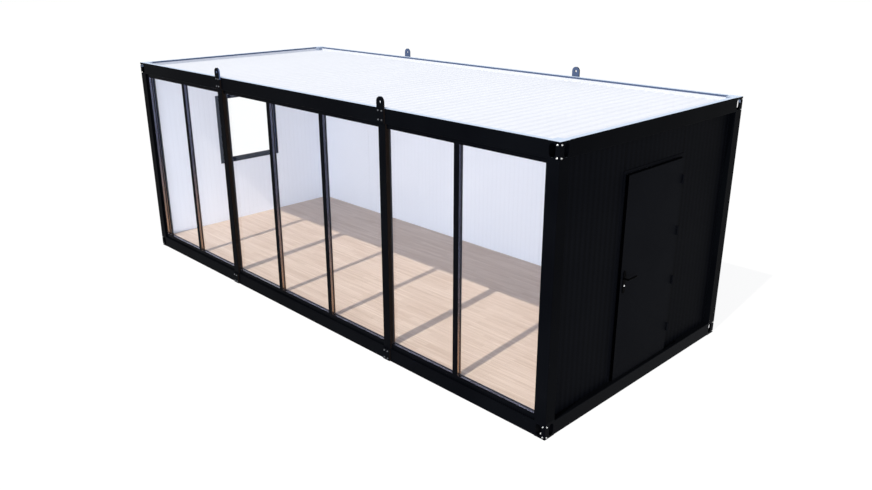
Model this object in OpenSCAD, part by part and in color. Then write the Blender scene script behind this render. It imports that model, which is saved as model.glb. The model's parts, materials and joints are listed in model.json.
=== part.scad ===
// Office container: a steel frame with a glazed long side, insulated panels,
// a hinged steel door in one end and a fixed window in the other.
// Millimetres, +Z up. The origin is on the ground at the middle of the plan.
// +X points along the long side to the door end, -Y is the glazed side.

/* [Overall] */
// Length of the steel frame
length = 7000; // [5600:10:9000]
// Width of the steel frame
width = 3000; // [2400:10:3600]
// Height of the steel frame, without the lifting lugs
height = 2600; // [2450:5:3000]

/* [Rails and posts] */
// Height of the bottom rails
bottom_rail_height = 145; // [125:1:180]
// Height of the top rails
top_rail_height = 143; // [125:1:180]
// Sheet thickness of the rolled rails
rail_sheet = 4; // [3:0.5:6]
// Outer bend radius of the rolled rails' edges
rail_bend = 7; // [6.5:0.5:14]
// Width of the narrow flange of a rail, at the roof edge and under the floor
narrow_flange = 60; // [45:1:80]
// Depth of the lip that hangs from the roof edge flange
roof_lip = 20; // [16:1:30]
// Width of a corner post on the long side
corner_post_x = 120; // [110:1:150]
// Width of a corner post on the end side
corner_post_y = 128; // [110:1:150]
// Wall of the corner posts
corner_post_wall = 5; // [3:0.5:8]
// Bend radius of the posts' edges
post_bend = 5; // [4.5:0.5:12]
// Distance of the middle posts from the middle of the long side
mid_post_x = 1456; // [1200:1:1700]
// Width of a middle post
mid_post_width = 98; // [80:1:120]
// Wall of the middle posts
mid_post_wall = 4; // [3:0.5:6]

/* [Corner pieces] */
// Height of a corner piece
corner_height = 165; // [150:1:190]
// Wall of a corner piece
corner_wall = 8; // [6:0.5:12]
// Width of a hook slot
slot_width = 62; // [40:1:64]
// Length of an upright hook slot
slot_length = 112; // [90:1:120]
// Length of the slot in the underside of a bottom corner piece
flat_slot_length = 80; // [60:1:90]
// Distance of a long side's hook slot, from its middle to the end of the container
slot_setback = 73; // [66:1:80]
// Distance of an end's hook slot, from its middle to the long side of the container
end_slot_setback = 86; // [78:1:92]
// Distance of an upright slot from the top or bottom of the container
slot_margin = 18; // [12:1:24]

/* [Lifting lugs and foot plates] */
// Width of a lug
lug_width = 100; // [80:1:120]
// Thickness of a lug and of a foot plate
lug_plate = 15; // [8:1:20]
// Height of the lug's hole over the frame
lug_hole_rise = 60; // [50:1:80]
// Diameter of the lug's hole
lug_hole = 28; // [20:1:40]
// Space between a plate and the edge of its rail
plate_margin = 8; // [4:1:16]

/* [Walls] */
// Depth of the wall faces behind the frame's outer face
wall_recess = 55; // [40:1:70]
// Thickness of the wall panels
wall_thickness = 50; // [40:1:80]
// Number of panels in the back wall
back_panels = 6; // [4:1:8]
// Joint between two panels
panel_joint = 2; // [1:0.5:4]

/* [Floor] */
// Height of the floor's surface over the ground
floor_level = 160; // [155:1:190]
// Thickness of the floor board
floor_board = 22; // [16:1:30]
// Thickness of the floor covering
floor_cover = 5; // [2:0.5:8]
// Number of floor joists
joist_count = 13; // [9:1:17]
// Flange width of a joist
joist_flange = 50; // [40:1:70]
// Sheet thickness of a joist
joist_sheet = 3; // [2:0.5:5]

/* [Roof] */
// Thickness of the ceiling panel
ceiling_thickness = 80; // [60:1:85]
// Pitch of the roof sheet's ribs
rib_pitch = 120; // [100:1:150]
// Height of the ribs
rib_height = 12; // [10:1:27]
// Width of a rib's flat top
rib_top = 46; // [30:1:56]
// Width of a rib's slanting side
rib_side = 16; // [8:1:20]
// Thickness of the roof sheet
roof_sheet_thickness = 1; // [0.7:0.1:2]

/* [Glazing] */
// Depth of the glazing's face behind the frame's outer face
glazing_recess = 22; // [15:1:28]
// Depth of the inner bead behind the glass
glazing_bead = 6; // [4:1:16]
// Radius of the caps' front edges
glazing_edge = 3; // [2:0.5:8]
// Width of the glass edge covered by a cap
glass_cover = 10; // [8:1:12]
// Thickness of a glass unit
glass_thickness = 8; // [6:1:20]
// Play around a glass unit in its groove
glass_play = 0.5; // [0.3:0.1:0.9]
// Width of a mullion
mullion_width = 66; // [50:1:80]
// Distance from the middle of a side bay's mullion to the middle of its middle post
side_mullion_offset = 947; // [800:1:1000]
// Width of the jamb beside the left corner post
left_jamb_width = 48; // [30:1:60]
// Width of the jamb beside the right corner post
right_jamb_width = 23; // [14:1:60]
// Height of the sill over the bottom rail
sill_height = 53; // [30:1:65]
// Height of the head under the top rail
head_height = 44; // [20:1:55]
// Panes in the middle bay
middle_panes = 3; // [2:1:4]

/* [Window] */
// Width of the window
window_width = 1000; // [600:10:1300]
// Height of the window
window_height = 1000; // [600:10:1200]
// Height of the wall panel over the window
over_window = 411; // [250:1:500]
// Width of the window frame
window_frame_width = 62; // [45:1:80]
// How far the window frame stands out of both wall faces
window_proud = 8; // [3:1:15]

/* [Door] */
// Width of the doorway between its two wall panels
doorway_width = 1000; // [850:10:1200]
// Height of the wall panel over the door frame
over_door = 275; // [220:1:400]
// Thickness of the leaf
leaf_thickness = 45; // [36:1:52]
// How far the leaf stands out of the wall's face
leaf_proud = 33; // [20:1:38]
// Width of the door frame's face
door_frame_width = 30; // [24:1:50]
// How far the door frame stands out of the wall's face
door_frame_proud = 5; // [2:1:10]
// Width of the stop that the leaf closes on
door_stop = 22; // [15:1:30]
// Clearance around the leaf
door_gap = 7; // [6:0.5:10]
// Thickness of the threshold plate
threshold_plate = 5; // [3:0.5:6]

/* [Hinges] */
// Number of hinges
hinge_count = 4; // [2:1:5]
// Distance of the lowest hinge's middle from the leaf's lower edge
hinge_from_bottom = 253; // [150:1:300]
// Distance of the highest hinge's middle from the leaf's upper edge
hinge_from_top = 205; // [150:1:300]
// Height of a hinge
hinge_height = 92; // [80:1:140]
// Diameter of a hinge knuckle
knuckle_diameter = 16; // [14:1:22]
// Diameter of the hinge pin
pin_diameter = 10; // [6:0.5:11]
// Radial clearance of the pin
pin_clearance = 0.05; // [0.02:0.01:0.08]
// Gap between the two knuckles
knuckle_gap = 0.4; // [0.3:0.1:0.8]
// Space between a knuckle and the leaf's face
knuckle_stand = 2; // [1:0.5:4]
// Thickness of the hinge plates
hinge_plate = 4; // [3:0.5:6]
// Width of the hinge plate on the leaf
hinge_plate_width = 11; // [9:1:60]

/* [Handle] */
// Height of the handle's spindle over the ground
handle_height = 1180; // [1000:5:1250]
// Distance of the spindle from the lock edge of the leaf
backset = 55; // [45:1:70]
// Width of a handle plate
handle_plate_width = 36; // [30:1:50]
// Length of a handle plate
handle_plate_length = 220; // [180:1:260]
// Thickness of a handle plate
handle_plate = 6; // [4:0.5:10]
// Drop of the key cylinder below the spindle
cylinder_drop = 68; // [60:1:85]
// Diameter of the key cylinder
cylinder_diameter = 18; // [14:1:24]
// How far the key cylinder stands out of the handle plates
cylinder_proud = 3; // [1:0.5:6]
// Diameter of the lever's neck and bar
lever_diameter = 18; // [14:1:24]
// Distance of the lever's bar from its plate
lever_reach = 42; // [35:1:60]
// Length of the lever's bar
lever_length = 130; // [100:1:150]
// Diameter of the spindle between the two levers
spindle_diameter = 10; // [8:0.5:12]
// Radial clearance of the neck and of the key cylinder in their holes
neck_clearance = 0.05; // [0.02:0.01:0.08]

/* [Hidden] */
$fn = 48;

frame_black = [0.07, 0.07, 0.08];
panel_black = [0.09, 0.09, 0.10];
roof_white = [0.93, 0.95, 0.98];
inner_white = [0.86, 0.87, 0.90];
oak = [0.80, 0.70, 0.60];
board_brown = [0.55, 0.45, 0.35];
zinc = [0.70, 0.71, 0.73];
clear_glass = [0.80, 0.88, 0.92, 0.35];

half_l = length / 2;
half_w = width / 2;
wall_inner = wall_recess + wall_thickness;
wall_bottom = bottom_rail_height;
wall_top = height - top_rail_height;
wall_height = wall_top - wall_bottom;
post_bottom = corner_height;
post_height = height - 2 * corner_height;
long_rail = length - 2 * corner_post_x;
end_rail = width - 2 * corner_post_y;
edge_gap = 1;
cut_over = 1;

deck_bottom = floor_level - floor_cover - floor_board;
joist_height = deck_bottom - rail_sheet;
deck_x = half_l - wall_inner - edge_gap;
deck_y = half_w - wall_inner - edge_gap;
sheet_bottom = wall_top + rail_sheet + ceiling_thickness;

glass_groove = glass_thickness + 2 * glass_play;
glazing_cap = wall_recess - glazing_recess;
glazing_depth = glazing_cap + glass_groove + glazing_bead;
bay_mid_half = mid_post_x - mid_post_width / 2;
bay_side_start = mid_post_x + mid_post_width / 2;
bay_side_end = half_l - corner_post_x;
bar_bottom = wall_bottom + sill_height;
bar_height = wall_top - head_height - bar_bottom;
glass_bottom = wall_bottom + sill_height - glass_cover;
glass_top = wall_top - head_height + glass_cover;

window_top = wall_top - over_window;
window_bottom = window_top - window_height;
window_clear_w = window_width - 2 * window_frame_width;
window_clear_h = window_height - 2 * window_frame_width;

wall_face_x = half_l - wall_recess;
wall_back_x = half_l - wall_inner;
leaf_face_x = wall_face_x + leaf_proud;
leaf_back_x = leaf_face_x - leaf_thickness;
door_frame_face_x = wall_face_x + door_frame_proud;
leaf_half = doorway_width / 2 - door_frame_width - door_gap;
leaf_bottom = wall_bottom + threshold_plate + door_gap;
over_door_bottom = wall_top - over_door;
head_bottom = over_door_bottom - door_frame_width;
door_top = head_bottom - door_gap;
stop_face_x = leaf_back_x - door_gap;

end_panel_y = half_w - corner_post_y;

hinge_x = leaf_face_x + knuckle_diameter / 2 + knuckle_stand;
hinge_y = leaf_half + door_gap;
hinge_first_z = leaf_bottom + hinge_from_bottom;
hinge_step = (door_top - hinge_from_top - hinge_first_z) / (hinge_count - 1);
knuckle_height = (hinge_height - knuckle_gap) / 2;
handle_y = -leaf_half + backset;
plate_middle_z = handle_height - cylinder_drop / 2;
cylinder_hole = cylinder_diameter + 2 * neck_clearance;

middle_pane = (2 * bay_mid_half - (middle_panes - 1) * mullion_width) / middle_panes;
side_mullion_x = mid_post_x + side_mullion_offset;
left_clear_end = bay_side_end - left_jamb_width;
right_clear_end = bay_side_end - right_jamb_width;

function middle_pane_x(i) = -bay_mid_half + i * (middle_pane + mullion_width);

// Helpers

module rounded_rectangle(w, d, r) {
  translate([r, 0]) square([w - 2 * r, d]);
  translate([0, r]) square([w, d - 2 * r]);
  for (x = [r, w - r])
    for (y = [r, d - r])
      translate([x, y]) circle(r);
}

module stadium(w, l) {
  square([w, l - w], center = true);
  for (s = [-1, 1])
    translate([0, s * (l - w) / 2]) circle(d = w);
}

module box_tube(w, d, h, wall, bend) {
  linear_extrude(h)
    difference() {
      rounded_rectangle(w, d, bend);
      translate([wall, wall]) rounded_rectangle(w - 2 * wall, d - 2 * wall, bend - wall / 2);
    }
}

// Rail sections: x runs inwards from the outer face, y runs up.

// Rolled channel with a bend at both edges of its web.
module rolled_channel(h, low_flange, high_flange) {
  span = 4 * rail_bend;
  difference() {
    rounded_rectangle(span, h, rail_bend);
    translate([rail_sheet, rail_sheet])
      rounded_rectangle(span, h - 2 * rail_sheet, rail_bend - rail_sheet);
    translate([span / 2, -cut_over]) square([span, h + 2 * cut_over]);
  }
  translate([rail_bend, 0]) square([low_flange - rail_bend, rail_sheet]);
  translate([rail_bend, h - rail_sheet]) square([high_flange - rail_bend, rail_sheet]);
}

module bottom_rail_section() {
  rolled_channel(bottom_rail_height, narrow_flange, wall_inner);
}

module top_rail_section() {
  rolled_channel(top_rail_height, wall_inner, narrow_flange);
  translate([narrow_flange - rail_sheet, top_rail_height - roof_lip]) square([rail_sheet, roof_lip]);
}

// Sweeps a rail section along X at the front face, inwards being +Y.
module front_run(run) {
  translate([-run / 2, -half_w, 0])
    rotate([90, 0, 90])
      linear_extrude(run) children();
}

// Sweeps a rail section along Y at the left face, inwards being +X.
module left_run(run) {
  translate([-half_l, run / 2, 0])
    rotate([90, 0, 0])
      linear_extrude(run) children();
}

module at_top() {
  translate([0, 0, wall_top]) children();
}

module back() {
  mirror([0, 1, 0]) children();
}

module right() {
  mirror([1, 0, 0]) children();
}

module four_corners() {
  for (sx = [0, 1])
    for (sy = [0, 1])
      mirror([sx, 0, 0]) mirror([0, sy, 0]) translate([-half_l, -half_w, 0]) children();
}

// Room that floor and roof pieces leave around the four corners.
module corner_room(z, h) {
  four_corners()
    translate([-edge_gap, -edge_gap, z])
      cube([corner_post_x + 2 * edge_gap, corner_post_y + 2 * edge_gap, h]);
}

module front_posts_at() {
  for (s = [-1, 1])
    translate([s * mid_post_x, -half_w, 0]) children();
}

// Frame

module bottom_rail_front() color(frame_black) front_run(long_rail) bottom_rail_section();
module bottom_rail_back() color(frame_black) back() front_run(long_rail) bottom_rail_section();
module bottom_rail_left() color(frame_black) left_run(end_rail) bottom_rail_section();
module bottom_rail_right() color(frame_black) right() left_run(end_rail) bottom_rail_section();
module top_rail_front() color(frame_black) at_top() front_run(long_rail) top_rail_section();
module top_rail_back() color(frame_black) back() at_top() front_run(long_rail) top_rail_section();
module top_rail_left() color(frame_black) at_top() left_run(end_rail) top_rail_section();
module top_rail_right() color(frame_black) right() at_top() left_run(end_rail) top_rail_section();

module corner_post() {
  translate([-half_l, -half_w, post_bottom])
    box_tube(corner_post_x, corner_post_y, post_height, corner_post_wall, post_bend);
}

module corner_post_front_left() color(frame_black) corner_post();
module corner_post_front_right() color(frame_black) right() corner_post();
module corner_post_back_left() color(frame_black) back() corner_post();
module corner_post_back_right() color(frame_black) right() back() corner_post();

// Hollow corner piece with a bent outer edge and a hook slot in each outer face.
module corner_piece() {
  outer = [corner_post_x, corner_post_y, corner_height];
  wall = [corner_wall, corner_wall, corner_wall];
  slot_z = slot_margin + slot_length / 2;
  cut = 2 * corner_wall;
  difference() {
    linear_extrude(corner_height)
      intersection() {
        rounded_rectangle(2 * corner_post_x, 2 * corner_post_y, post_bend);
        square([corner_post_x, corner_post_y]);
      }
    translate(wall) cube(outer - 2 * wall);
    translate([slot_setback, corner_wall + cut / 2, slot_z])
      rotate([90, 0, 0]) linear_extrude(2 * cut) stadium(slot_width, slot_length);
    translate([-cut, end_slot_setback, slot_z])
      rotate([90, 0, 90]) linear_extrude(2 * cut) stadium(slot_width, slot_length);
  }
}

module bottom_corners() color(frame_black)
  four_corners()
    difference() {
      corner_piece();
      translate([corner_post_x / 2, slot_setback, -cut_over])
        rotate([0, 0, 90]) linear_extrude(corner_wall + 2 * cut_over) stadium(slot_width, flat_slot_length);
    }

module top_corners() color(frame_black)
  four_corners() translate([0, 0, height]) mirror([0, 0, 1]) corner_piece();

module mid_post() {
  translate([-mid_post_width / 2, 0, wall_bottom])
    box_tube(mid_post_width, wall_recess, wall_height, mid_post_wall, post_bend);
}

module front_mid_posts() color(frame_black) front_posts_at() mid_post();
module back_mid_posts() color(frame_black) back() front_posts_at() mid_post();

module lug() {
  lug_bottom = wall_top + plate_margin;
  hole_z = height + lug_hole_rise;
  rotate([90, 0, 0])
    linear_extrude(lug_plate)
      difference() {
        union() {
          translate([-lug_width / 2, lug_bottom]) square([lug_width, hole_z - lug_bottom]);
          translate([0, hole_z]) circle(d = lug_width);
        }
        translate([0, hole_z]) circle(d = lug_hole);
      }
}

module lifting_lugs() color(frame_black) {
  front_posts_at() lug();
  back() front_posts_at() lug();
}

module foot_plate() {
  translate([-lug_width / 2, -lug_plate, plate_margin])
    cube([lug_width, lug_plate, bottom_rail_height - 2 * plate_margin]);
}

module foot_plates() color(frame_black) {
  front_posts_at() foot_plate();
  back() front_posts_at() foot_plate();
}

// Floor

module joist_section() {
  square([joist_sheet, joist_height]);
  square([joist_flange, joist_sheet]);
  translate([0, joist_height - joist_sheet]) square([joist_flange, joist_sheet]);
}

module floor_joists() color(zinc) {
  first = corner_post_x + edge_gap - half_l;
  last = -first - joist_flange;
  run = width - 2 * (rail_bend + edge_gap);
  for (i = [0 : joist_count - 1])
    translate([first + (last - first) * i / (joist_count - 1), run / 2, rail_sheet])
      rotate([90, 0, 0]) linear_extrude(run) joist_section();
}

// Floor layer that leaves room around the corner pieces and posts.
module floor_layer(z, thickness) {
  difference() {
    translate([-deck_x, -deck_y, z]) cube([2 * deck_x, 2 * deck_y, thickness]);
    corner_room(z - cut_over, thickness + 2 * cut_over);
  }
}

module floor_deck() color(board_brown) floor_layer(deck_bottom, floor_board);
module floor_covering() color(oak) floor_layer(floor_level - floor_cover, floor_cover);

// Roof

module ceiling_panel() color(inner_white) {
  edge = rail_bend + edge_gap;
  difference() {
    translate([edge - half_l, edge - half_w, wall_top + rail_sheet])
      cube([length - 2 * edge, width - 2 * edge, ceiling_thickness]);
    corner_room(wall_top, top_rail_height);
  }
}

// Ribbed sheet whose four edges turn up to the lips of the top rails.
module roof_sheet() color(roof_white) {
  reach_x = half_l - narrow_flange + rail_sheet;
  reach_y = half_w - narrow_flange + rail_sheet;
  count = floor(2 * reach_x / rib_pitch);
  start = -count * rib_pitch / 2;
  foot = (rib_pitch - rib_top - 2 * rib_side) / 2;
  line = [
    for (i = [0 : count - 1])
      for (p = [[0, 0], [foot, 0], [foot + rib_side, rib_height],
                [foot + rib_side + rib_top, rib_height], [rib_pitch - foot, 0]])
        [start + i * rib_pitch + p[0], p[1]]
  ];
  top_line = concat([[-reach_x, 0]], line, [[reach_x, 0]]);
  bottom_line = [for (i = [len(top_line) - 1 : -1 : 0]) top_line[i] - [0, roof_sheet_thickness]];
  turn_up = height - roof_lip - sheet_bottom;
  difference() {
    union() {
      translate([0, reach_y, sheet_bottom + roof_sheet_thickness])
        rotate([90, 0, 0]) linear_extrude(2 * reach_y) polygon(concat(top_line, bottom_line));
      translate([-reach_x, -reach_y, sheet_bottom])
        linear_extrude(turn_up)
          difference() {
            square([2 * reach_x, 2 * reach_y]);
            translate([rail_sheet, rail_sheet])
              square([2 * (reach_x - rail_sheet), 2 * (reach_y - rail_sheet)]);
          }
    }
    corner_room(wall_top, top_rail_height);
  }
}

// Walls

module back_wall() color(panel_black) {
  start = -bay_side_end;
  step = 2 * bay_side_end / back_panels;
  for (i = [0 : back_panels - 1])
    translate([start + i * step + panel_joint / 2, half_w - wall_inner, wall_bottom])
      cube([step - panel_joint, wall_thickness, wall_height]);
}

// Upright panel in an end wall at the right end, between two places along Y.
module end_panel(y0, y1, z0, z1) {
  translate([wall_back_x, y0, z0]) cube([wall_thickness, y1 - y0, z1 - z0]);
}

module left_wall_sides() color(panel_black) right() {
  end_panel(-end_panel_y, -window_width / 2, wall_bottom, wall_top);
  end_panel(window_width / 2, end_panel_y, wall_bottom, wall_top);
}

module left_wall_under_window() color(panel_black)
  right() end_panel(-window_width / 2, window_width / 2, wall_bottom, window_bottom);

module left_wall_over_window() color(panel_black)
  right() end_panel(-window_width / 2, window_width / 2, window_top, wall_top);

module window_frame() color(frame_black) right() {
  depth = wall_thickness + 2 * window_proud;
  rebate_depth = (depth + glass_thickness) / 2;
  rebate = glass_cover;
  translate([wall_back_x - window_proud, 0, window_bottom + window_height / 2])
    difference() {
      translate([0, -window_width / 2, -window_height / 2])
        cube([depth, window_width, window_height]);
      translate([-cut_over, -window_clear_w / 2, -window_clear_h / 2])
        cube([depth + 2 * cut_over, window_clear_w, window_clear_h]);
      translate([-cut_over, -window_clear_w / 2 - rebate, -window_clear_h / 2 - rebate])
        cube([rebate_depth + cut_over, window_clear_w + 2 * rebate, window_clear_h + 2 * rebate]);
    }
}

module window_glass() color(clear_glass) right() {
  cover = glass_cover - glass_play;
  translate([wall_back_x + (wall_thickness - glass_thickness) / 2,
             -window_clear_w / 2 - cover, window_bottom + window_frame_width - cover])
    cube([glass_thickness, window_clear_w + 2 * cover, window_clear_h + 2 * cover]);
}

module right_wall_front_panel() color(panel_black)
  end_panel(-end_panel_y, -doorway_width / 2, wall_bottom, wall_top);

module right_wall_back_panel() color(panel_black)
  end_panel(doorway_width / 2, end_panel_y, wall_bottom, wall_top);

module right_wall_over_door() color(panel_black)
  end_panel(-doorway_width / 2, doorway_width / 2, over_door_bottom, wall_top);

// Door

// Section of the door frame: x runs outwards from the wall's inner face, y runs away from the leaf.
module door_frame_section() {
  square([door_frame_face_x - wall_back_x, door_frame_width]);
  translate([0, -door_stop]) square([stop_face_x - wall_back_x, door_stop]);
}

module door_jamb() {
  translate([wall_back_x, leaf_half + door_gap, wall_bottom])
    linear_extrude(over_door_bottom - wall_bottom) door_frame_section();
}

module door_jambs() color(frame_black) {
  door_jamb();
  mirror([0, 1, 0]) door_jamb();
}

module door_head() color(frame_black) {
  run = 2 * (leaf_half + door_gap - door_stop);
  translate([wall_back_x, run / 2, head_bottom])
    rotate([90, 0, 0]) linear_extrude(run) door_frame_section();
  face_run = 2 * (leaf_half + door_gap);
  translate([stop_face_x, -face_run / 2, head_bottom])
    cube([door_frame_face_x - stop_face_x, face_run, door_frame_width]);
}

module door_threshold() color(zinc)
  translate([wall_back_x, -leaf_half - door_gap + door_stop, wall_bottom])
    cube([leaf_face_x - wall_back_x, 2 * (leaf_half + door_gap - door_stop), threshold_plate]);

module door_leaf() color(panel_black)
  difference() {
    translate([leaf_back_x, -leaf_half, leaf_bottom])
      cube([leaf_thickness, 2 * leaf_half, door_top - leaf_bottom]);
    translate([leaf_back_x - cut_over, handle_y, handle_height])
      rotate([0, 90, 0]) cylinder(d = lever_diameter, h = leaf_thickness + 2 * cut_over);
    translate([leaf_back_x - cut_over, handle_y, handle_height - cylinder_drop])
      rotate([0, 90, 0]) cylinder(d = cylinder_hole, h = leaf_thickness + 2 * cut_over);
  }

module hinge_frame_half() {
  reach = hinge_x - door_frame_face_x;
  cylinder(d = knuckle_diameter, h = knuckle_height);
  cylinder(d = pin_diameter, h = hinge_height);
  translate([-reach, 0, 0]) cube([reach, knuckle_diameter / 2, knuckle_height]);
}

module hinge_leaf_half() {
  bore = pin_diameter + 2 * pin_clearance;
  plate_back = hinge_x - leaf_face_x;
  plate_reach = hinge_y - leaf_half + hinge_plate_width;
  translate([0, 0, knuckle_height + knuckle_gap])
    difference() {
      union() {
        cylinder(d = knuckle_diameter, h = knuckle_height);
        translate([-plate_back, -plate_reach, 0]) cube([hinge_plate, plate_reach, knuckle_height]);
      }
      translate([0, 0, -cut_over]) cylinder(d = bore, h = knuckle_height + 2 * cut_over);
    }
}

module at_hinges() {
  for (i = [0 : hinge_count - 1])
    translate([hinge_x, hinge_y, hinge_first_z + i * hinge_step - hinge_height / 2]) children();
}

module hinge_frame_halves() color(frame_black) at_hinges() hinge_frame_half();
module hinge_leaf_halves() color(frame_black) at_hinges() hinge_leaf_half();

// Places a piece that points outwards along +X at the spindle, on both faces of the leaf.
module both_leaf_faces() {
  translate([leaf_face_x, handle_y, 0]) children();
  translate([leaf_back_x, handle_y, 0]) mirror([1, 0, 0]) children();
}

module handle_plate_side() {
  difference() {
    translate([0, 0, plate_middle_z])
      rotate([90, 0, 90]) linear_extrude(handle_plate) stadium(handle_plate_width, handle_plate_length);
    translate([-cut_over, 0, handle_height])
      rotate([0, 90, 0]) cylinder(d = lever_diameter + 2 * neck_clearance, h = handle_plate + 2 * cut_over);
    translate([-cut_over, 0, handle_height - cylinder_drop])
      rotate([0, 90, 0]) cylinder(d = cylinder_hole, h = handle_plate + 2 * cut_over);
  }
}

module handle_plates() color(frame_black) both_leaf_faces() handle_plate_side();

module key_cylinder() color(zinc) {
  proud = handle_plate + cylinder_proud;
  translate([leaf_back_x - proud, handle_y, handle_height - cylinder_drop])
    rotate([0, 90, 0]) cylinder(d = cylinder_diameter, h = leaf_thickness + 2 * proud);
}

module lever_side() {
  reach = handle_plate + lever_reach;
  translate([0, 0, handle_height]) {
    rotate([0, 90, 0]) cylinder(d = lever_diameter, h = reach);
    translate([reach, 0, 0]) sphere(d = lever_diameter);
    translate([reach, 0, 0]) rotate([-90, 0, 0]) cylinder(d = lever_diameter, h = lever_length);
    translate([reach, lever_length, 0]) sphere(d = lever_diameter);
  }
}

module lever_handle() color(frame_black) {
  both_leaf_faces() lever_side();
  translate([leaf_back_x, handle_y, handle_height])
    rotate([0, 90, 0]) cylinder(d = spindle_diameter, h = leaf_thickness);
}

// Glazing

// Section of a glazing bar that stands on x = 0 and holds glass on its +X side:
// a cap with a rounded front edge, a groove for the glass and an inner bead.
module edge_section(w) {
  intersection() {
    translate([-w, 0]) rounded_rectangle(2 * w, 2 * glazing_cap, glazing_edge);
    square([w, glazing_cap]);
  }
  square([w - glass_cover, glazing_depth]);
  translate([0, glazing_depth - glazing_bead]) square([w, glazing_bead]);
}

module mullion_section() {
  edge_section(mullion_width / 2);
  mirror([1, 0, 0]) edge_section(mullion_width / 2);
}

// Calls its children for the two side bays, the left one mirrored from the right.
module both_side_bays() {
  children();
  mirror([1, 0, 0]) children();
}

// Runs an edge section along X on the glazing's face.
module glazing_run(x0, x1) {
  translate([x0, glazing_recess - half_w, 0])
    rotate([90, 0, 90]) linear_extrude(x1 - x0) mirror([1, -1, 0]) children();
}

module sill(x0, x1) {
  translate([0, 0, wall_bottom]) glazing_run(x0, x1) edge_section(sill_height);
}

module head(x0, x1) {
  translate([0, 0, wall_top]) mirror([0, 0, 1]) glazing_run(x0, x1) edge_section(head_height);
}

module glazing_sills() color(frame_black) {
  sill(-bay_mid_half, bay_mid_half);
  both_side_bays() sill(bay_side_start, bay_side_end);
}

module glazing_heads() color(frame_black) {
  head(-bay_mid_half, bay_mid_half);
  both_side_bays() head(bay_side_start, bay_side_end);
}

module upright(x) {
  translate([x, glazing_recess - half_w, bar_bottom]) linear_extrude(bar_height) children();
}

module glazing_jambs() color(frame_black) {
  upright(bay_side_end) mirror([1, 0, 0]) edge_section(right_jamb_width);
  upright(-bay_side_end) edge_section(left_jamb_width);
  both_side_bays() {
    translate([mid_post_x, 0, 0]) post_jamb();
    translate([mid_post_x, 0, 0]) mirror([1, 0, 0]) post_jamb();
  }
}

// Half jamb that holds a pane's edge against the back of a middle post.
module post_jamb() {
  half = (mid_post_width - panel_joint) / 2;
  translate([panel_joint / 2, wall_recess - half_w, wall_bottom])
    linear_extrude(wall_height) {
      square([half - glass_cover, glass_groove + glazing_bead]);
      translate([0, glass_groove]) square([half, glazing_bead]);
    }
}

module mullions() color(frame_black) {
  for (i = [1 : middle_panes - 1])
    upright(middle_pane_x(i) - mullion_width / 2) mullion_section();
  both_side_bays() upright(side_mullion_x) mullion_section();
}

// Pane between two clear edges, reaching behind the caps of its bars.
module pane(x0, x1) {
  reach = glass_cover - glass_play;
  translate([x0 - reach, wall_recess + glass_play - half_w, glass_bottom + glass_play])
    cube([x1 - x0 + 2 * reach, glass_thickness, glass_top - glass_bottom - 2 * glass_play]);
}

module glass_panes() color(clear_glass) {
  for (i = [0 : middle_panes - 1])
    pane(middle_pane_x(i), middle_pane_x(i) + middle_pane);
  both_side_bays() pane(bay_side_start, side_mullion_x - mullion_width / 2);
  pane(side_mullion_x + mullion_width / 2, right_clear_end);
  mirror([1, 0, 0]) pane(side_mullion_x + mullion_width / 2, left_clear_end);
}

bottom_rail_front();
bottom_rail_back();
bottom_rail_left();
bottom_rail_right();
top_rail_front();
top_rail_back();
top_rail_left();
top_rail_right();
corner_post_front_left();
corner_post_front_right();
corner_post_back_left();
corner_post_back_right();
bottom_corners();
top_corners();
front_mid_posts();
back_mid_posts();
lifting_lugs();
foot_plates();
floor_joists();
floor_deck();
floor_covering();
ceiling_panel();
roof_sheet();
back_wall();
left_wall_sides();
left_wall_under_window();
left_wall_over_window();
window_frame();
window_glass();
right_wall_front_panel();
right_wall_back_panel();
right_wall_over_door();
door_jambs();
door_head();
door_threshold();
door_leaf();
hinge_frame_halves();
hinge_leaf_halves();
handle_plates();
key_cylinder();
lever_handle();
glazing_sills();
glazing_heads();
glazing_jambs();
mullions();
glass_panes();
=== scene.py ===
import json
import math

import bmesh
import bpy
from mathutils import Matrix, Vector


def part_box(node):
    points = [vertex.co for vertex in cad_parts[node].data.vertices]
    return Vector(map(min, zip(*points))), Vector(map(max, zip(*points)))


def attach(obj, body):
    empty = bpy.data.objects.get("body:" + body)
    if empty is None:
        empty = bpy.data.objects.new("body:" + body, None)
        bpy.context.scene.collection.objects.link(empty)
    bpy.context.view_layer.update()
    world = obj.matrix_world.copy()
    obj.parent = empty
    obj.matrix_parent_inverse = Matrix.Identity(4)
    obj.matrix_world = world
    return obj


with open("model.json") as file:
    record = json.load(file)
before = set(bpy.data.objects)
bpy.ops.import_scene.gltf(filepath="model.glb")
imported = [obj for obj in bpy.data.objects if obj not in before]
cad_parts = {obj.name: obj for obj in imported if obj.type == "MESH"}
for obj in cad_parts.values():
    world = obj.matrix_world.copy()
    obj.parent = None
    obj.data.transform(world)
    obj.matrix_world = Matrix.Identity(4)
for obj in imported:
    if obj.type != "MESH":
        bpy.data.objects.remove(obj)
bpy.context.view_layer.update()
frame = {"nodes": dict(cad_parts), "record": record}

NODES = frame["nodes"]
scene = bpy.context.scene
scene.view_settings.view_transform = "Standard"


# Camera, at the photograph's viewing angle

PHOTO_WIDTH_PX = 872.0
FOCAL_PX = 783.55
SENSOR_MM = 36.0
CAMERA_PLACE = (6.9512, -6.1907, 3.8655)
CAMERA_TURN_DEG = (70.1254, 0.0829, 45.4866)

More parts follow.
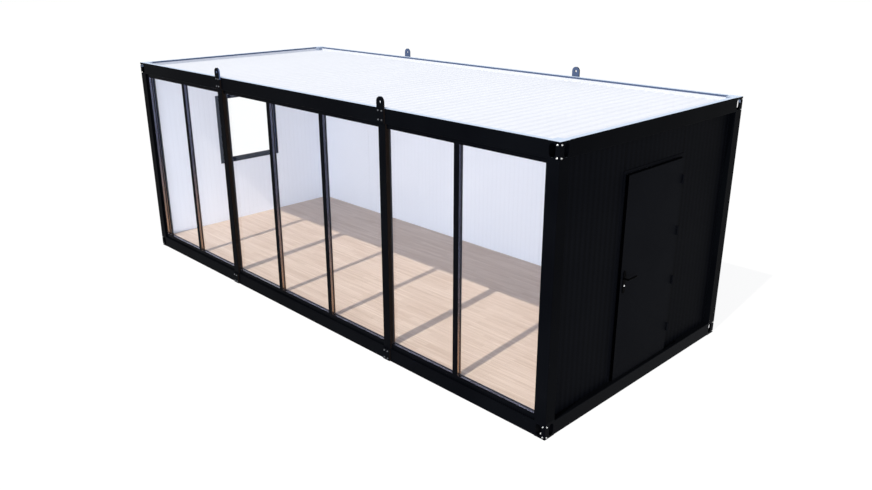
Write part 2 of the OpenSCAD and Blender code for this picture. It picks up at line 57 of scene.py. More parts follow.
camera_data = bpy.data.cameras.new("camera")
camera_data.sensor_fit = "HORIZONTAL"
camera_data.sensor_width = SENSOR_MM
camera_data.lens = SENSOR_MM * FOCAL_PX / PHOTO_WIDTH_PX
camera = bpy.data.objects.new("camera", camera_data)
camera.location = CAMERA_PLACE
camera.rotation_euler = [math.radians(turn) for turn in CAMERA_TURN_DEG]
scene.collection.objects.link(camera)
scene.camera = camera


# Node helpers

def rgb(r, g, b):
    return (r, g, b, 1.0)


class Nodes:
    """Short ways to add nodes to the tree of a material or world."""

    def __init__(self, data):
        data.use_nodes = True
        self.data = data
        self.nodes = data.node_tree.nodes
        self.links = data.node_tree.links
        self.nodes.clear()

    def put(self, socket, value):
        if isinstance(value, bpy.types.NodeSocket):
            self.links.new(value, socket)
        elif value is not None:
            socket.default_value = value

    def node(self, kind, inputs=None, **settings):
        made = self.nodes.new(kind)
        for key, value in settings.items():
            setattr(made, key, value)
        for key, value in (inputs or {}).items():
            self.put(made.inputs[key], value)
        return made

    def math(self, operation, a, b=None, c=None):
        made = self.node("ShaderNodeMath", operation=operation)
        for socket, value in zip(made.inputs, (a, b, c)):
            self.put(socket, value)
        return made.outputs[0]

    def times(self, first, *others):
        """The product of two or more values."""
        for other in others:
            first = self.math("MULTIPLY", first, other)
        return first

    def span(self, value, low, high, to_low=0.0, to_high=1.0):
        """Maps low to to_low and high to to_high, and stays level beyond them."""
        made = self.node("ShaderNodeMapRange", {
            "Value": value, "From Min": low, "From Max": high, "To Min": to_low, "To Max": to_high})
        return made.outputs["Result"]

    def above(self, value, edge, soft):
        """0 up to the edge, rising to 1 at soft past it."""
        return self.span(value, edge, edge + soft)

    def below(self, value, edge, soft):
        """1 up to the edge, falling to 0 at soft past it."""
        return self.span(value, edge, edge + soft, 1.0, 0.0)

    def mix(self, factor, a, b, blend="MIX"):
        made = self.node("ShaderNodeMix", data_type="RGBA", blend_type=blend)
        self.put(made.inputs[0], factor)
        self.put(made.inputs[6], a)
        self.put(made.inputs[7], b)
        return made.outputs[2]

    def seen(self):
        """1 for what is seen directly, in gloss or through glass, and 0 for light on the object."""
        path = self.node("ShaderNodeLightPath").outputs
        plain = self.math("MAXIMUM", path["Is Camera Ray"], path["Is Glossy Ray"])
        return self.math("MAXIMUM", plain, path["Is Transmission Ray"])


class Material(Nodes):
    """A material with a Principled shader and textures placed in object space."""

    def __init__(self, name):
        super().__init__(bpy.data.materials.new(name))
        self.name = name
        self.output = self.node("ShaderNodeOutputMaterial")
        self.shader = self.node("ShaderNodeBsdfPrincipled")
        self.show(self.shader)
        self.place = self.node("ShaderNodeTexCoord").outputs["Object"]

    def show(self, shader):
        self.links.new(shader.outputs[0], self.output.inputs["Surface"])

    def set(self, **values):
        for key, value in values.items():
            self.put(self.shader.inputs[key.replace("_", " ")], value)

    def painted(self):
        """The colour that reaches the shader so far."""
        return self.shader.inputs["Base Color"].links[0].from_socket

    def axes(self, vector=None):
        made = self.node("ShaderNodeSeparateXYZ", {"Vector": vector or self.place})
        return made.outputs

    def normal(self):
        """The surface normal's axes in the scene, for pieces that don't move."""
        return self.axes(self.node("ShaderNodeNewGeometry").outputs["Normal"])

    def stretch(self, scale):
        made = self.node("ShaderNodeMapping", {"Vector": self.place, "Scale": scale})
        return made.outputs["Vector"]

    def noise(self, scale, detail=3.0, rough=0.5, vector=None):
        made = self.node("ShaderNodeTexNoise", {
            "Vector": vector or self.place, "Scale": scale, "Detail": detail, "Roughness": rough})
        return made.outputs["Fac"]

    def cells(self, scale, vector=None):
        """A random value for each cell of a Voronoi pattern."""
        made = self.node("ShaderNodeTexVoronoi", {
            "Vector": vector or self.place, "Scale": scale, "Randomness": 1.0}, feature="F1")
        return self.axes(made.outputs["Color"])["X"]

    def bump(self, height, strength, distance):
        made = self.node("ShaderNodeBump", {
            "Height": height, "Strength": strength, "Distance": distance})
        return made.outputs["Normal"]


# Black paints of the frame, the bars and the hardware

FRAME_BLACKS = (rgb(0.0011, 0.0013, 0.0020), rgb(0.0018, 0.0021, 0.0029))


def paint(name, dark, light, rough, specular):
    """Sprayed paint: a faint cloudiness in colour and gloss, and fine orange peel."""
    m = Material(name)
    cloud = m.span(m.noise(1.7, detail=4.0), 0.3, 0.7)
    fine = m.noise(38.0, detail=5.0, rough=0.6)
    peel = m.noise(420.0, detail=2.0)
    m.set(Base_Color=m.mix(cloud, dark, light),
          Roughness=m.span(fine, 0.25, 0.75, rough - 0.05, rough + 0.07),
          Normal=m.bump(peel, strength=0.12, distance=0.0006),
          Specular_IOR_Level=specular)
    return m


def frame_paint():
    """The frame's black, with painted light: a painted ground bounce low on the door end, a painted warm
    reflection of the floor on the middle posts' sides, a painted bounce from the roof on inward faces over
    the roof, and a painted pale sky sheen on flat upward faces near the top.
    """
    m = paint("frame_black", *FRAME_BLACKS, rough=0.36, specular=0.006)
    end, side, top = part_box("top_corners")[1]
    rail_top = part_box("bottom_rail_right")[1].z
    place, normal = m.axes(), m.normal()
    along = m.math("ABSOLUTE", place["X"])
    across = m.math("ABSOLUTE", place["Y"])
    step = 0.005
    facing, soft = 0.90, 0.08
    front, rear = 0.1 - side, side - 0.3
    past_posts = 2.0

    # Painted light: the door end's low outward faces are painted lighter and bluish, more so towards the
    # rear, as a painted ground bounce.
    painted_bounce = m.mix(m.span(place["Y"], front, rear),
                 rgb(0.0036, 0.0038, 0.0046), rgb(0.0066, 0.0070, 0.0082))
    low_end = m.times(m.above(normal["X"], facing, soft), m.below(place["Z"], rail_top + step, 2 * step))
    colour = m.mix(low_end, m.painted(), painted_bounce)

    # Painted reflection: the middle posts' sideways faces are painted warm and lighter, a painted
    # reflection of the sunlit floor.
    sideways = m.above(m.math("ABSOLUTE", normal["X"]), facing, soft)
    middle_posts = m.times(m.below(place["Y"], front, 2 * step), m.below(along, past_posts, 0.1))
    colour = m.mix(m.times(sideways, middle_posts), colour, rgb(0.011, 0.0078, 0.0064))

    # Painted light: faces that look inward over the roof are painted slate blue, paler on the corner
    # pieces, as a painted bounce of light from the white roof.
    corner_length, corner_width, corner_drop = 0.130, 0.140, 0.035
    lip_drop = 0.025
    corner = m.times(m.above(along, end - corner_length, step), m.above(across, side - corner_width, step))
    height = m.math("MULTIPLY_ADD", corner, corner_drop, place["Z"])
    outward = m.math("MULTIPLY_ADD", normal["X"], place["X"], m.times(normal["Y"], place["Y"]))
    over_roof = m.times(m.below(outward, -1.0, 0.5), m.above(height, top - lip_drop, step))
    patch = m.span(m.noise(6.0, detail=5.0, rough=0.65), 0.2, 0.6, 0.93, 1.0)
    painted_roof_bounce = m.mix(corner, rgb(0.080, 0.112, 0.200), rgb(0.30, 0.36, 0.48))
    colour = m.mix(m.times(over_roof, patch), colour, painted_roof_bounce)

    # Painted sheen: flat upward faces near the top are painted pale bluish, a painted sheen of the sky.
    flat, flat_soft = 0.985, 0.013
    edge_drop, edge_soft = 0.15, 0.14
    painted_sky_sheen = m.times(m.above(normal["Z"], flat, flat_soft), m.above(place["Z"], top - edge_drop, edge_soft))
    m.set(Base_Color=m.mix(m.times(painted_sky_sheen, patch), colour, rgb(0.52, 0.61, 0.76)))
    return m


def glazing_paint():
    """Black coated bars whose returns beside the glass are a smoother satin metal coloured with a painted
    reflection: bluish higher up, warm like the sunlit floor lower down, grey on level faces.
    """
    m = paint("glazing_black", *FRAME_BLACKS, rough=0.30, specular=0.008)
    normal = m.normal()
    beside_glass = m.below(m.math("ABSOLUTE", normal["Y"]), 0.25, 0.35)
    level = m.math("ABSOLUTE", normal["Z"])
    low_down = m.below(m.axes()["Z"], 0.3, 1.1)
    cloud = m.span(m.noise(1.1), 0.3, 0.7)
    # Painted reflection: the returns' colour stands in for reflections, bluish of the walls above and warm
    # of the floor lower down.
    painted_reflection = m.mix(cloud, rgb(0.165, 0.175, 0.245), rgb(0.195, 0.205, 0.280))
    painted_reflection = m.mix(low_down, painted_reflection, rgb(0.38, 0.27, 0.20))
    painted_reflection = m.mix(level, painted_reflection, rgb(0.180, 0.182, 0.230))
    m.set(Base_Color=m.mix(beside_glass, m.painted(), painted_reflection),
          Metallic=beside_glass,
          Roughness=m.span(cloud, 0.0, 1.0, 0.17, 0.21))
    return m


# Panels of the walls and the door

def panel_lines(m, pitch, width):
    """Fine upright lines pressed into the panels' sheet, and the wide valleys they lie in, from 0 to 1."""
    axes = m.axes()
    along = m.math("ADD", axes["X"], axes["Y"])
    phase = m.math("FRACT", m.math("DIVIDE", along, pitch))
    off = m.math("ABSOLUTE", m.math("SUBTRACT", phase, 0.5))
    return m.below(off, 0.0, 0.5 * width / pitch), m.below(off, 0.0, 0.5)


def two_sided(name, how_far_out, line_pitch, outer, inner):
    """A panel that is black where how_far_out gives more than 0, and pale elsewhere, with painted shade
    that darkens the pale side towards the top.
    """
    m = Material(name)
    outside = m.math("GREATER_THAN", how_far_out(m), 0.0)
    cloud = m.span(m.noise(1.3, detail=4.0), 0.3, 0.7)
    # Painted shade: the pale side is darkened towards the top.
    painted_shade_high = m.span(m.axes()["Z"], 0.3, 2.4)
    pale = m.mix(painted_shade_high, m.mix(cloud, *inner), rgb(0.85, 0.845, 0.855), "MULTIPLY")
    colour = m.mix(outside, pale, m.mix(cloud, *outer))
    height = m.times(m.noise(420.0, detail=2.0), 0.1)
    if line_pitch:
        line, valley = panel_lines(m, line_pitch, width=0.006)
        valley_shade = m.times(valley, m.span(outside, 0.0, 1.0, 0.01, 0.45))
        shade = m.math("MULTIPLY_ADD", line, 0.07, valley_shade)
        colour = m.mix(shade, colour, rgb(0.0, 0.0, 0.0))
        height = m.math("SUBTRACT", height, line)
    fine = m.noise(45.0, detail=4.0, rough=0.6)
    m.set(Base_Color=colour,
          Roughness=m.span(fine, 0.25, 0.75, 0.36, 0.48),
          Normal=m.bump(height, strength=0.10, distance=0.001),
          Specular_IOR_Level=0.005)
    return m


def wall_panel():
    """The walls' lined sheets, parted into inside and outside at the middle of their thickness."""
    end_low, end_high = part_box("right_wall_over_door")
    rear_low, rear_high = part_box("back_wall")
    end_middle = 0.5 * (end_low.x + end_high.x)
    rear_middle = 0.5 * (rear_low.y + rear_high.y)

    def how_far_out(m):
        axes = m.axes()
        ends = m.math("SUBTRACT", m.math("ABSOLUTE", axes["X"]), end_middle)
        rear = m.math("SUBTRACT", axes["Y"], rear_middle)
        return m.math("MAXIMUM", ends, rear)

    return two_sided("wall_panel", how_far_out, line_pitch=0.075,
                     outer=(rgb(0.0029, 0.0033, 0.0047), rgb(0.0041, 0.0045, 0.0060)),
                     inner=(rgb(0.880, 0.905, 0.970), rgb(0.900, 0.925, 0.990)))


def door_panel():
    """The door's sheets, pale grey on the inner face, with painted shade that darkens the edges all round,
    less on upward edges.
    """
    inner_sheet = 0.003
    sheet_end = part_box("door_leaf")[0].x + inner_sheet

    def how_far_out(m):
        return m.math("SUBTRACT", m.axes()["X"], sheet_end)

    m = two_sided("door_panel", how_far_out, line_pitch=None,
                  outer=(rgb(0.0028, 0.0031, 0.0043), rgb(0.0040, 0.0044, 0.0058)),
                  inner=(rgb(0.585, 0.600, 0.640), rgb(0.610, 0.625, 0.665)))
    # Painted shade: the leaf's edges, all faces not facing along X, are painted near black, less so where
    # they face up.
    facing = m.axes(m.node("ShaderNodeTexCoord").outputs["Normal"])
    edge = m.below(m.math("ABSOLUTE", facing["X"]), 0.3, 0.4)
    edge = m.times(edge, m.span(facing["Z"], 0.5, 0.9, 1.0, 0.4))
    m.set(Base_Color=m.mix(edge, m.painted(), rgb(0.0002, 0.0002, 0.0003)))
    return m


# Roof, ceiling and floor

def white_sheet(name, low, high, rough):
    """White coated sheet with a faint cloudiness and faint streaks across it."""
    m = Material(name)
    cloud = m.span(m.noise(0.9, detail=5.0, rough=0.6), 0.3, 0.7)
    streak = m.span(m.noise(5.0, detail=4.0, rough=0.6, vector=m.stretch((1.0, 0.12, 1.0))), 0.35, 0.8)
    fine = m.noise(30.0, detail=4.0)
    m.set(Base_Color=m.mix(m.times(streak, 0.10), m.mix(cloud, low, high), rgb(0.55, 0.58, 0.62)),
          Roughness=m.span(fine, 0.25, 0.75, rough - 0.05, rough + 0.08),
          Normal=m.bump(m.noise(350.0, detail=2.0), strength=0.08, distance=0.0006),
          Specular_IOR_Level=0.2)
    return m


def laminate():
    """Light oak laminate: planks along X, three strips in each, with grain and short streaks."""
    m = Material("oak_laminate")
    strip_length, strip_width, strip_gap = 0.43, 0.064, 0.0004
    plank_length, plank_width, plank_gap = 1.286, 0.192, 0.0008

    def bond(length, width, gap):
        made = m.node("ShaderNodeTexBrick", {
            "Vector": m.place, "Color1": rgb(0.0, 0.0, 0.0), "Color2": rgb(1.0, 1.0, 1.0),
            "Mortar": rgb(0.5, 0.5, 0.5), "Scale": 1.0, "Mortar Size": gap, "Mortar Smooth": 0.1,
            "Bias": 0.0, "Brick Width": length, "Row Height": width},
            offset=0.37, offset_frequency=2, squash=1.0, squash_frequency=2)
        return made.outputs

    strips = bond(strip_length, strip_width, strip_gap)
    planks = bond(plank_length, plank_width, plank_gap)
    grain = m.noise(9.0, detail=8.0, rough=0.62, vector=m.stretch((0.16, 7.5, 1.0)))
    streak = m.noise(22.0, detail=4.0, rough=0.55, vector=m.stretch((0.06, 3.0, 1.0)))
    colour = m.mix(strips["Color"], rgb(0.580, 0.453, 0.376), rgb(0.662, 0.537, 0.457))
    colour = m.mix(m.span(grain, 0.38, 0.68, 0.0, 0.62), colour, rgb(0.430, 0.312, 0.246))
    colour = m.mix(m.span(streak, 0.48, 0.72, 0.0, 0.55), colour, rgb(0.730, 0.612, 0.530))
    seam = m.math("MAXIMUM", m.times(strips["Fac"], 0.25), m.times(planks["Fac"], 0.6))
    height = m.math("SUBTRACT", m.times(grain, 0.3), planks["Fac"])
    m.set(Base_Color=m.mix(seam, colour, rgb(0.24, 0.16, 0.11)),
          Roughness=m.span(grain, 0.3, 0.7, 0.36, 0.50),
          Normal=m.bump(height, strength=0.25, distance=0.0005),
          Specular_IOR_Level=0.4)
    return m


def board():
    """Pressed wood board: flakes of several browns."""
    m = Material("floor_board")
    flake = m.cells(55.0, m.stretch((1.0, 2.2, 1.0)))
    fibre = m.noise(60.0, detail=5.0, rough=0.6, vector=m.stretch((0.3, 2.0, 1.0)))
    colour = m.mix(flake, rgb(0.26, 0.17, 0.10), rgb(0.50, 0.37, 0.24))
    m.set(Base_Color=m.mix(m.span(fibre, 0.4, 0.8, 0.0, 0.5), colour, rgb(0.60, 0.47, 0.32)),
          Roughness=m.span(fibre, 0.3, 0.7, 0.7, 0.9),
          Normal=m.bump(fibre, strength=0.3, distance=0.001),
          Specular_IOR_Level=0.25)
    return m


# Metal, rubber and glass

def metal(name, dark, light, rough, cell_scale):
    """Bare or zinc-coated metal with a crystalline mottle."""
    m = Material(name)
    spangle = m.cells(cell_scale)
    cloud = m.noise(cell_scale * 0.2, detail=4.0)
    tone = m.math("MULTIPLY_ADD", spangle, 0.6, m.times(cloud, 0.4))
    m.set(Base_Color=m.mix(tone, dark, light),
          Roughness=m.span(tone, 0.0, 1.0, rough - 0.07, rough + 0.09),
          Normal=m.bump(m.noise(500.0, detail=2.0), strength=0.08, distance=0.0003),
          Metallic=1.0)
    return m


def rubber():
    m = Material("rubber")
    speck = m.noise(260.0, detail=4.0, rough=0.6)
    m.set(Base_Color=m.mix(speck, rgb(0.006, 0.006, 0.007), rgb(0.014, 0.014, 0.016)),
          Roughness=m.span(speck, 0.3, 0.7, 0.65, 0.82),
          Normal=m.bump(speck, strength=0.25, distance=0.0004),
          Specular_IOR_Level=0.2)
    return m


def glass():
    """Clear glass: it lets light through and reflects more towards grazing angles."""
    m = Material("clear_glass")
    m.nodes.remove(m.shader)
    film = m.span(m.noise(2.4, detail=4.0, rough=0.6), 0.3, 0.75)
    through = m.node("ShaderNodeBsdfTransparent", {
        "Color": m.mix(film, rgb(0.997, 0.999, 0.999), rgb(0.993, 0.996, 0.997))})
    gloss = m.node("ShaderNodeBsdfGlossy", {
        "Color": rgb(0.78, 0.86, 1.0), "Roughness": m.span(film, 0.0, 1.0, 0.01, 0.05)})
    facing = m.node("ShaderNodeLayerWeight", {"Blend": 0.5}).outputs["Facing"]
    steepness, gain, least = 5.0, 0.75, 0.022
    grazing = m.math("MULTIPLY_ADD", m.math("POWER", facing, steepness), gain, least)
    front = m.math("SUBTRACT", 1.0, m.node("ShaderNodeNewGeometry").outputs["Backfacing"])
    m.show(m.node("ShaderNodeMixShader", {
        0: m.times(grazing, front), 1: through.outputs[0], 2: gloss.outputs[0]}))
    return m


# Materials by name, and which node wears which

MATERIALS = {made.name: made for made in (
    frame_paint(),
    glazing_paint(),
    paint("hardware_black", rgb(0.0003, 0.0003, 0.0004), rgb(0.0006, 0.0006, 0.0008),
          rough=0.34, specular=0.006),
    paint("jamb_black", rgb(0.0024, 0.0027, 0.0039), rgb(0.0034, 0.0038, 0.0051),
          rough=0.40, specular=0.005),
    paint("threshold_metal", rgb(0.0030, 0.0031, 0.0035), rgb(0.0045, 0.0046, 0.0051),
          rough=0.40, specular=0.02),
    paint("window_slate", rgb(0.010, 0.013, 0.024), rgb(0.014, 0.018, 0.031),
          rough=0.40, specular=0.01),
    wall_panel(),
    door_panel(),
    white_sheet("roof_white", rgb(0.688, 0.718, 0.792), rgb(0.711, 0.740, 0.814), rough=0.42),
    white_sheet("ceiling_white", rgb(0.71, 0.715, 0.735), rgb(0.74, 0.745, 0.765), rough=0.48),
    laminate(),
    board(),
    metal("galvanised", rgb(0.42, 0.44, 0.46), rgb(0.66, 0.68, 0.70), rough=0.42, cell_scale=90.0),
    metal("bright_metal", rgb(0.90, 0.91, 0.93), rgb(0.97, 0.98, 0.99), rough=0.22, cell_scale=420.0),
    metal("dull_metal", rgb(0.13, 0.14, 0.16), rgb(0.20, 0.21, 0.23), rough=0.40, cell_scale=420.0),
    glass(),
    rubber(),
)}

PAINTED_AS_WALL = ("door_jambs", "door_head", "hinge_frame_halves", "hinge_leaf_halves")

for part in frame["record"]["subparts"]:
    mesh = NODES[part["node"]].data
    mesh.materials.clear()
    material = "jamb_black" if part["node"] in PAINTED_AS_WALL else part["material_slot"]
    mesh.materials.append(MATERIALS[material].data)


# Mesh helpers

def ring_sides(bm, low, high):
    """Joins two rings of as many points with four-sided faces."""
    for i in range(len(low)):
        j = (i + 1) % len(low)
        bm.faces.new((low[i], low[j], high[j], high[i]))


def turned(bm, profile, place, axis, sides, spin=0.0):
    """Turns a profile of (radius, height) pairs about an axis that starts at place."""
    turn = Vector((0, 0, 1)).rotation_difference(Vector(axis)).to_matrix().to_4x4()
    move = Matrix.Translation(place) @ turn
    rings = []
    for radius, height in profile:
        ring = []
        for i in range(sides):
            angle = 2 * math.pi * i / sides + spin
            point = Vector((radius * math.cos(angle), radius * math.sin(angle), height))
            ring.append(bm.verts.new(move @ point))
        rings.append(ring)
    for low, high in zip(rings, rings[1:]):
        ring_sides(bm, low, high)
    bm.faces.new(rings[0][::-1])
    bm.faces.new(rings[-1])


def strip(bm, corners, axis, start, end):
    """Sweeps a section, given as corners, from start to end along one axis."""
    first, last = [], []
    for corner in corners:
        for ends, at in ((first, start), (last, end)):
            point = Vector(corner)
            point[axis] = at
            ends.append(bm.verts.new(point))
    ring_sides(bm, first, last)
    bm.faces.new(first[::-1])
    bm.faces.new(last)


def piece(name, bm, body, material, smooth=False):
    """Makes an object of the mesh, riding on a body and finished as a slot of the record."""
    bmesh.ops.recalc_face_normals(bm, faces=bm.faces)
    mesh = bpy.data.meshes.new(name)
    bm.to_mesh(mesh)
    bm.free()
    for face in mesh.polygons:
        face.use_smooth = smooth
    mesh.materials.append(MATERIALS[material].data)
    made = bpy.data.objects.new(name, mesh)
    scene.collection.objects.link(made)
    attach(made, body)


def hex_bolt(bm, place, axis, across=0.012):
    """A washer and a chamfered hexagon head."""
    washer, head = 0.0018, 0.0065
    rim, bevel, upper_bevel = 0.72 * across, 0.0006, 0.0005
    turned(bm, [(rim - bevel, 0.0), (rim, bevel), (rim, washer - upper_bevel), (rim - bevel, washer)],
           place, axis, sides=24)
    radius, chamfer = across / math.sqrt(3), 0.0014
    turned(bm, [(radius, 0.0), (radius, head - chamfer), (0.86 * radius, head)],
           Vector(place) + Vector(axis) * washer, axis, sides=6, spin=0.3)


def screw(bm, place, axis, radius):
    """A low domed screw head."""
    dome = ((1.0, 0.0), (0.96, 0.22), (0.72, 0.42), (0.30, 0.50))
    turned(bm, [(radius * wide, radius * rise) for wide, rise in dome], place, axis, sides=20)


def solid_boxes(node):
    """Boxes of the separate solids in a node, found by joining faces that share a place, in order of X."""
    mesh = NODES[node].data
    digits = 5
    places, parent, keys = {}, {}, []

    def root_of(key):
        while parent[key] != key:
            key = parent[key]
        return key

    for vertex in mesh.vertices:
        key = tuple(round(c, digits) for c in vertex.co)
        keys.append(key)
        parent.setdefault(key, key)
        places[key] = vertex.co
    for face in mesh.polygons:
        first = root_of(keys[face.vertices[0]])
        for index in face.vertices[1:]:
            parent[root_of(keys[index])] = first
    groups = {}
    for key, place in places.items():
        groups.setdefault(root_of(key), []).append(place)
    boxes = []
    for points in groups.values():
        low = Vector([min(point[i] for point in points) for i in range(3)])
        high = Vector([max(point[i] for point in points) for i in range(3)])
        boxes.append((low, high))
    return sorted(boxes, key=lambda box: box[0].x)


# Bolts on the corner pieces, the lugs and the foot plates

def corner_bolts():
    """Two bright bolts, one low and one high, on each outer side face of the corner pieces."""
    low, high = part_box("bottom_corners")
    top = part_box("top_corners")[1].z
    side_inset, end_inset, across = 0.0245, 0.0195, 0.0098
    levels = [low.z + rise for rise in (0.021, 0.124)] + [top - drop for drop in (0.128, 0.025)]
    bm = bmesh.new()
    for z in levels:
        for x in (low.x + side_inset, high.x - side_inset):
            hex_bolt(bm, (x, low.y, z), (0, -1, 0), across)
            hex_bolt(bm, (x, high.y, z), (0, 1, 0), across)
        for y in (low.y + end_inset, high.y - end_inset):
            hex_bolt(bm, (low.x, y, z), (-1, 0, 0), across)
            hex_bolt(bm, (high.x, y, z), (1, 0, 0), across)
    piece("corner_bolts", bm, "root", "bright_metal")


def plate_bolts(name, node, levels):
    """Four dull bolts on each of a node's plates, which stand on both long sides."""
    low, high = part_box(node)
    plate_half, bolt_half = 0.050, 0.024
    bm = bmesh.new()
    for middle in (low.x + plate_half, high.x - plate_half):
        for x in (middle - bolt_half, middle + bolt_half):
            for z in levels:
                hex_bolt(bm, (x, low.y, z), (0, -1, 0))
                hex_bolt(bm, (x, high.y, z), (0, 1, 0))
    piece(name, bm, "root", "dull_metal")


def lug_bolts():
    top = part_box("top_corners")[1].z
    plate_bolts("lug_bolts", "lifting_lugs", [top - drop for drop in (0.106, 0.020)])


def foot_bolts():
    low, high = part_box("foot_plates")
    inset = 0.024
    plate_bolts("foot_bolts", "foot_plates", (low.z + inset, high.z - inset))


# Door: seal on the stops, screws, and the slots in the key cylinder

def door_seal():
    """A bulb seal on the frame's stops, along both sides and the head."""
    low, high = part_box("door_leaf")
    gap, stop_width, below_leaf = 0.007, 0.022, 0.003
    inset, width, thick = 0.004, 0.011, 0.0058
    past_leaf = gap - stop_width + inset
    side_y, head_z = high.y + past_leaf, high.z + past_leaf
    bulb = ((0.0, 0.0), (0.0, 1.0), (0.45, 0.96), (0.82, 0.80), (1.0, 0.5), (0.82, 0.20), (0.45, 0.04))
    section = [(low.x - gap + out * thick, across * width) for out, across in bulb]
    bm = bmesh.new()
    for sign in (-1, 1):
        corners = [(x, sign * (side_y + across), 0.0) for x, across in section]
        strip(bm, corners, 2, low.z - below_leaf, head_z + width)
    strip(bm, [(x, 0.0, head_z + across) for x, across in section], 1, -side_y, side_y)
    piece("door_seal", bm, "root", "rubber")


def hinge_screws():
    """Two screws in each hinge's plate on the leaf."""
    leaf_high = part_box("door_leaf")[1]
    low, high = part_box("hinge_leaf_halves")
    plate_thick, plate_height, hinges = 0.004, 0.0458, 4
    edge_inset, end_inset, radius = 0.0055, 0.010, 0.0026
    pitch = (high.z - plate_height - low.z) / (hinges - 1)
    bm = bmesh.new()
    for i in range(hinges):
        for rise in (end_inset, plate_height - end_inset):
            place = (leaf_high.x + plate_thick, leaf_high.y - edge_inset, low.z + i * pitch + rise)
            screw(bm, place, (1, 0, 0), radius)
    piece("hinge_screws", bm, "door", "hardware_black", smooth=True)


def handle_screws():
    """A screw at both ends of the handle plates, outside and inside."""
    low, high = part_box("handle_plates")
    middle = 0.5 * (low.y + high.y)
    end_inset, radius = 0.016, 0.0042
    bm = bmesh.new()
    for z in (low.z + end_inset, high.z - end_inset):
        screw(bm, (high.x, middle, z), (1, 0, 0), radius)
        screw(bm, (low.x, middle, z), (-1, 0, 0), radius)
    piece("handle_screws", bm, "door", "hardware_black", smooth=True)


def key_slots():
    """Upright slots with round ends on both faces of the key cylinder."""
    plate_low, plate_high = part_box("handle_plates")
    low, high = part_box("key_cylinder")
    middle_y, middle_z = 0.5 * (plate_low.y + plate_high.y), 0.5 * (low.z + high.z)
    half_height, radius, proud, points = 0.0032, 0.0014, 0.0003, 16
    corners = []
    for i in range(points):
        angle = 2 * math.pi * i / points
        end = half_height if math.sin(angle) >= 0 else -half_height
        y = middle_y + radius * math.cos(angle)
        z = middle_z + end + radius * math.sin(angle)
        corners.append((0.0, y, z))
    bm = bmesh.new()
    for face, out in ((high.x, proud), (low.x, -proud)):
        strip(bm, corners, 0, face, face + out)
    piece("key_slots", bm, "door", "rubber")


# Gaskets and seals of the glass and the wall panels

def glass_gaskets():
    """Gaskets on the glass, along the inner edges of the glazing bars."""
    covered, bead, rise = 0.0095, 0.006, 0.007
    profile = ((0.0, 0.0), (0.0, rise), (0.4 * bead, 0.8 * rise), (bead, 0.0))
    bm = bmesh.new()
    for low, high in solid_boxes("glass_panes"):
        x0, x1 = low.x + covered, high.x - covered
        z0, z1 = low.z + covered, high.z - covered
        for x, sign in ((x0, 1), (x1, -1)):
            corners = [(x + sign * inward, low.y - out, 0.0) for inward, out in profile]
            strip(bm, corners, 2, z0, z1)
        for z, sign in ((z0, 1), (z1, -1)):
            corners = [(0.0, low.y - out, z + sign * inward) for inward, out in profile]
            strip(bm, corners, 0, x0 + bead, x1 - bead)
    piece("glass_gaskets", bm, "root", "rubber")


def panel_seals():
    """Seals that fill the joints between the back wall's panels."""
    sunk = 0.004
    panels = solid_boxes("back_wall")
    bm = bmesh.new()
    for (low, high), (after, _) in zip(panels, panels[1:]):
        inner, outer = low.y + sunk, high.y - sunk
        corners = [(high.x, inner, 0), (after.x, inner, 0), (after.x, outer, 0), (high.x, outer, 0)]
        strip(bm, corners, 2, low.z, high.z)
    piece("panel_seals", bm, "root", "wall_panel")


def door_panel_joints():
    """Joint strips on both sides of the panel over the door."""
    low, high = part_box("right_wall_over_door")
    half, proud = 0.0042, 0.0004
    top_half = 0.6 * half
    bm = bmesh.new()
    for y in (low.y, high.y):
        corners = [(high.x, y - half, 0), (high.x + proud, y - top_half, 0),
                   (high.x + proud, y + top_half, 0), (high.x, y + half, 0)]
        strip(bm, corners, 2, low.z, high.z)
    piece("door_panel_joints", bm, "root", "hardware_black")


corner_bolts()
lug_bolts()
foot_bolts()
door_seal()
hinge_screws()
handle_screws()
key_slots()
glass_gaskets()
panel_seals()
door_panel_joints()


# Floor and light

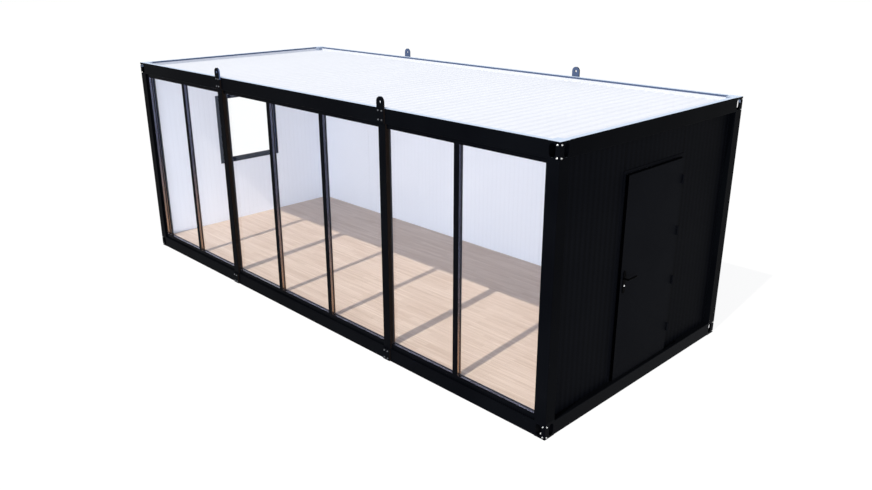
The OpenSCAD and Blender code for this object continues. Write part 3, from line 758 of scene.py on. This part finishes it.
def stage_floor():
    """A pale floor that keeps the object's shadow and is nearly white where it is seen."""
    name, size = "stage_floor", 160.0
    white_level, white_share = 1.05, 0.86
    bm = bmesh.new()
    bmesh.ops.create_grid(bm, x_segments=1, y_segments=1, size=size / 2)
    mesh = bpy.data.meshes.new(name)
    bm.to_mesh(mesh)
    bm.free()
    m = Material(name)
    m.set(Base_Color=m.mix(m.noise(0.8), rgb(0.70, 0.70, 0.70), rgb(0.6965, 0.6965, 0.6965)),
          Roughness=0.9, Specular_IOR_Level=0.0)
    white = m.node("ShaderNodeEmission", {"Color": rgb(1.0, 1.0, 1.0), "Strength": white_level})
    m.show(m.node("ShaderNodeMixShader", {
        0: m.times(m.seen(), white_share), 1: m.shader.outputs[0], 2: white.outputs[0]}))
    mesh.materials.append(m.data)
    made = bpy.data.objects.new(name, mesh)
    scene.collection.objects.link(made)


def studio():
    """A world that is white where it is seen, and dimmer and bluer as light on the object."""
    scene.world = bpy.data.worlds.new("studio")
    world = Nodes(scene.world)
    seen = world.seen()
    light_level, seen_level = 0.58, 1.0
    sky = world.node("ShaderNodeBackground", {
        "Color": world.mix(seen, rgb(0.93, 0.98, 1.10), rgb(1.0, 1.0, 1.0)),
        "Strength": world.span(seen, 0.0, 1.0, light_level, seen_level)})
    world.node("ShaderNodeOutputWorld", {"Surface": sky.outputs[0]})


def lamp(name, kind, location, direction, energy, colour):
    data = bpy.data.lights.new(name, kind)
    data.energy = energy
    data.color = colour
    made = bpy.data.objects.new(name, data)
    made.location = location
    made.rotation_euler = Vector(direction).to_track_quat("-Z", "Y").to_euler()
    scene.collection.objects.link(made)
    return made


stage_floor()
studio()

sun = lamp("key", "SUN", location=(0.0, 0.0, 8.0), direction=(-0.11, 1.0, -1.22),
           energy=3.2, colour=(1.0, 0.94, 0.82))
sun.data.angle = math.radians(1.0)

fill = lamp("front_fill", "AREA", location=(5.0, -9.0, 1.5), direction=(-0.5, 1.0, 0.0),
            energy=900.0, colour=(0.90, 0.97, 1.09))
fill.data.shape = "RECTANGLE"
fill.data.size = 12.0
fill.data.size_y = 2.6
fill.visible_camera = False
fill.visible_glossy = False
